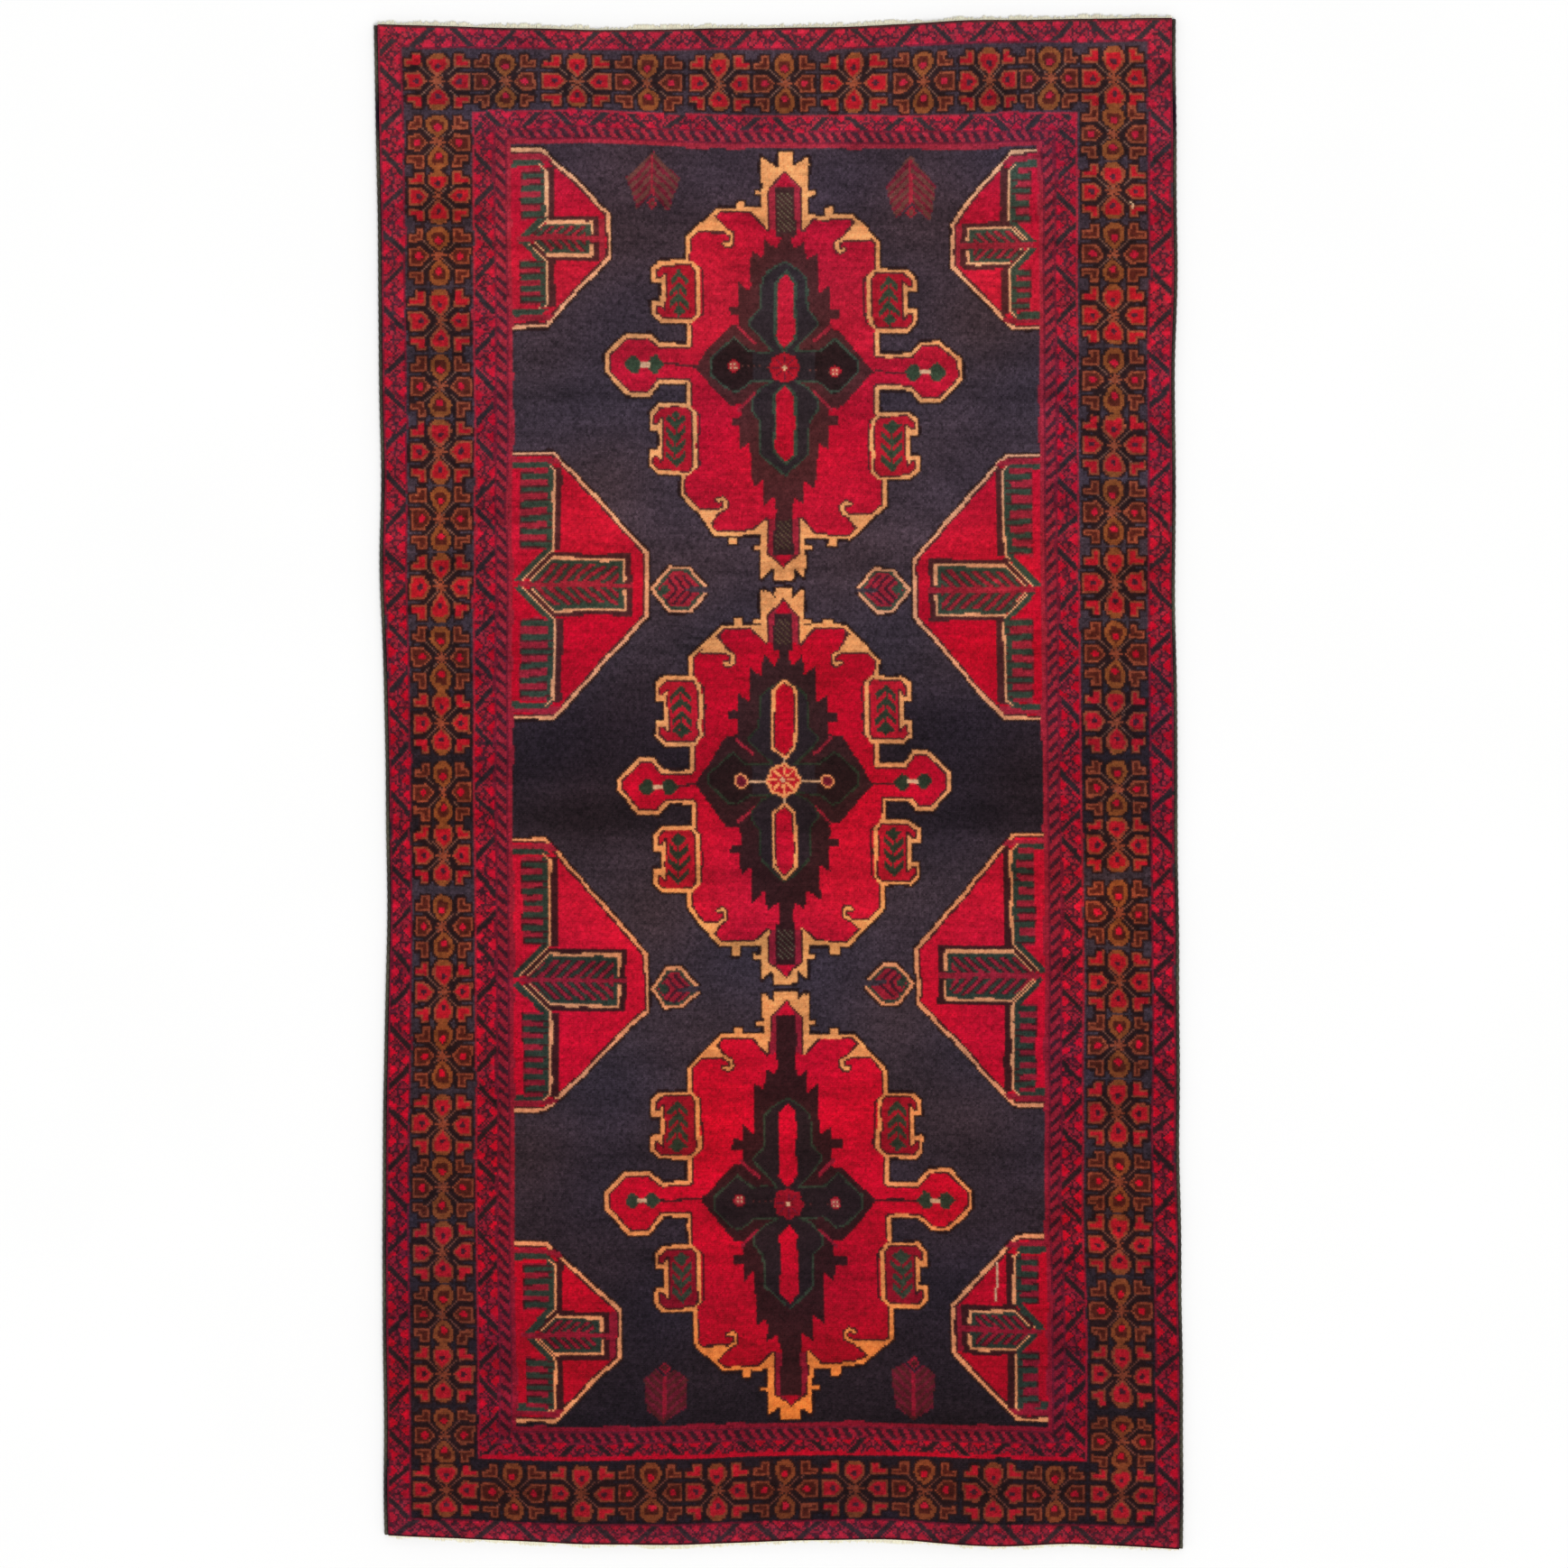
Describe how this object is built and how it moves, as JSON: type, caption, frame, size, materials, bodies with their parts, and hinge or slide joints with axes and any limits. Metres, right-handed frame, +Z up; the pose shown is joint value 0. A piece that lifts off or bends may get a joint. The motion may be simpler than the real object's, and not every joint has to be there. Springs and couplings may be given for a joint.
{
  "type": "area rug",
  "caption": "Hand-knotted tribal wool rug lying flat: medallions on a dark field, floral main border between guard bands, overcast sides, short cut ends.",
  "frame": {"origin": "centre of the underside's bounding box, on the floor", "axes": "+Z up, out of the pile; +Y along the rug towards its top end; +X across the rug to the right"},
  "size_m": [1.115, 2.1166, 0.0095],
  "materials": {
    "wool_navy": "matte cut pile",
    "wool_red": "matte cut pile",
    "wool_wine": "matte cut pile",
    "wool_gold": "matte cut pile",
    "wool_rose": "matte cut pile",
    "cotton_ivory": "undyed plain weave",
    "goat_hair_dark": "coarse overcast yarn"
  },
  "bodies": {
    "root": {"foundation_cloth": "cotton_ivory", "top_end_weave": "cotton_ivory", "top_warp_fringe": "cotton_ivory", "bottom_end_weave": "cotton_ivory", "bottom_warp_fringe": "cotton_ivory", "left_selvedge_core": "goat_hair_dark", "left_selvedge_wrap": "goat_hair_dark", "right_selvedge_core": "goat_hair_dark", "right_selvedge_wrap": "goat_hair_dark", "outer_guard_top": "wool_wine", "outer_guard_bottom": "wool_wine", "outer_guard_left": "wool_wine", "outer_guard_right": "wool_wine", "main_border_top": "wool_navy", "main_border_bottom": "wool_navy", "main_border_left": "wool_navy", "main_border_right": "wool_navy", "inner_guard_top": "wool_wine", "inner_guard_bottom": "wool_wine", "inner_guard_left": "wool_wine", "inner_guard_right": "wool_wine", "pole_stripe_top": "wool_red", "pole_stripe_bottom": "wool_red", "pole_stripe_left": "wool_red", "pole_stripe_right": "wool_red", "medallion_top": "wool_red", "medallion_middle": "wool_red", "medallion_bottom": "wool_red", "field_ground_left": "wool_navy", "left_top_corner_motif": "wool_red", "left_upper_motif": "wool_red", "left_lower_motif": "wool_red", "left_bottom_corner_motif": "wool_red", "left_upper_bud": "wool_gold", "left_lower_bud": "wool_gold", "left_top_tree": "wool_rose", "left_bottom_tree": "wool_rose", "field_ground_right": "wool_navy", "right_top_corner_motif": "wool_red", "right_upper_motif": "wool_red", "right_lower_motif": "wool_red", "right_bottom_corner_motif": "wool_red", "right_upper_bud": "wool_gold", "right_lower_bud": "wool_gold", "right_top_tree": "wool_rose", "right_bottom_tree": "wool_rose"}
  },
  "joints": []
}
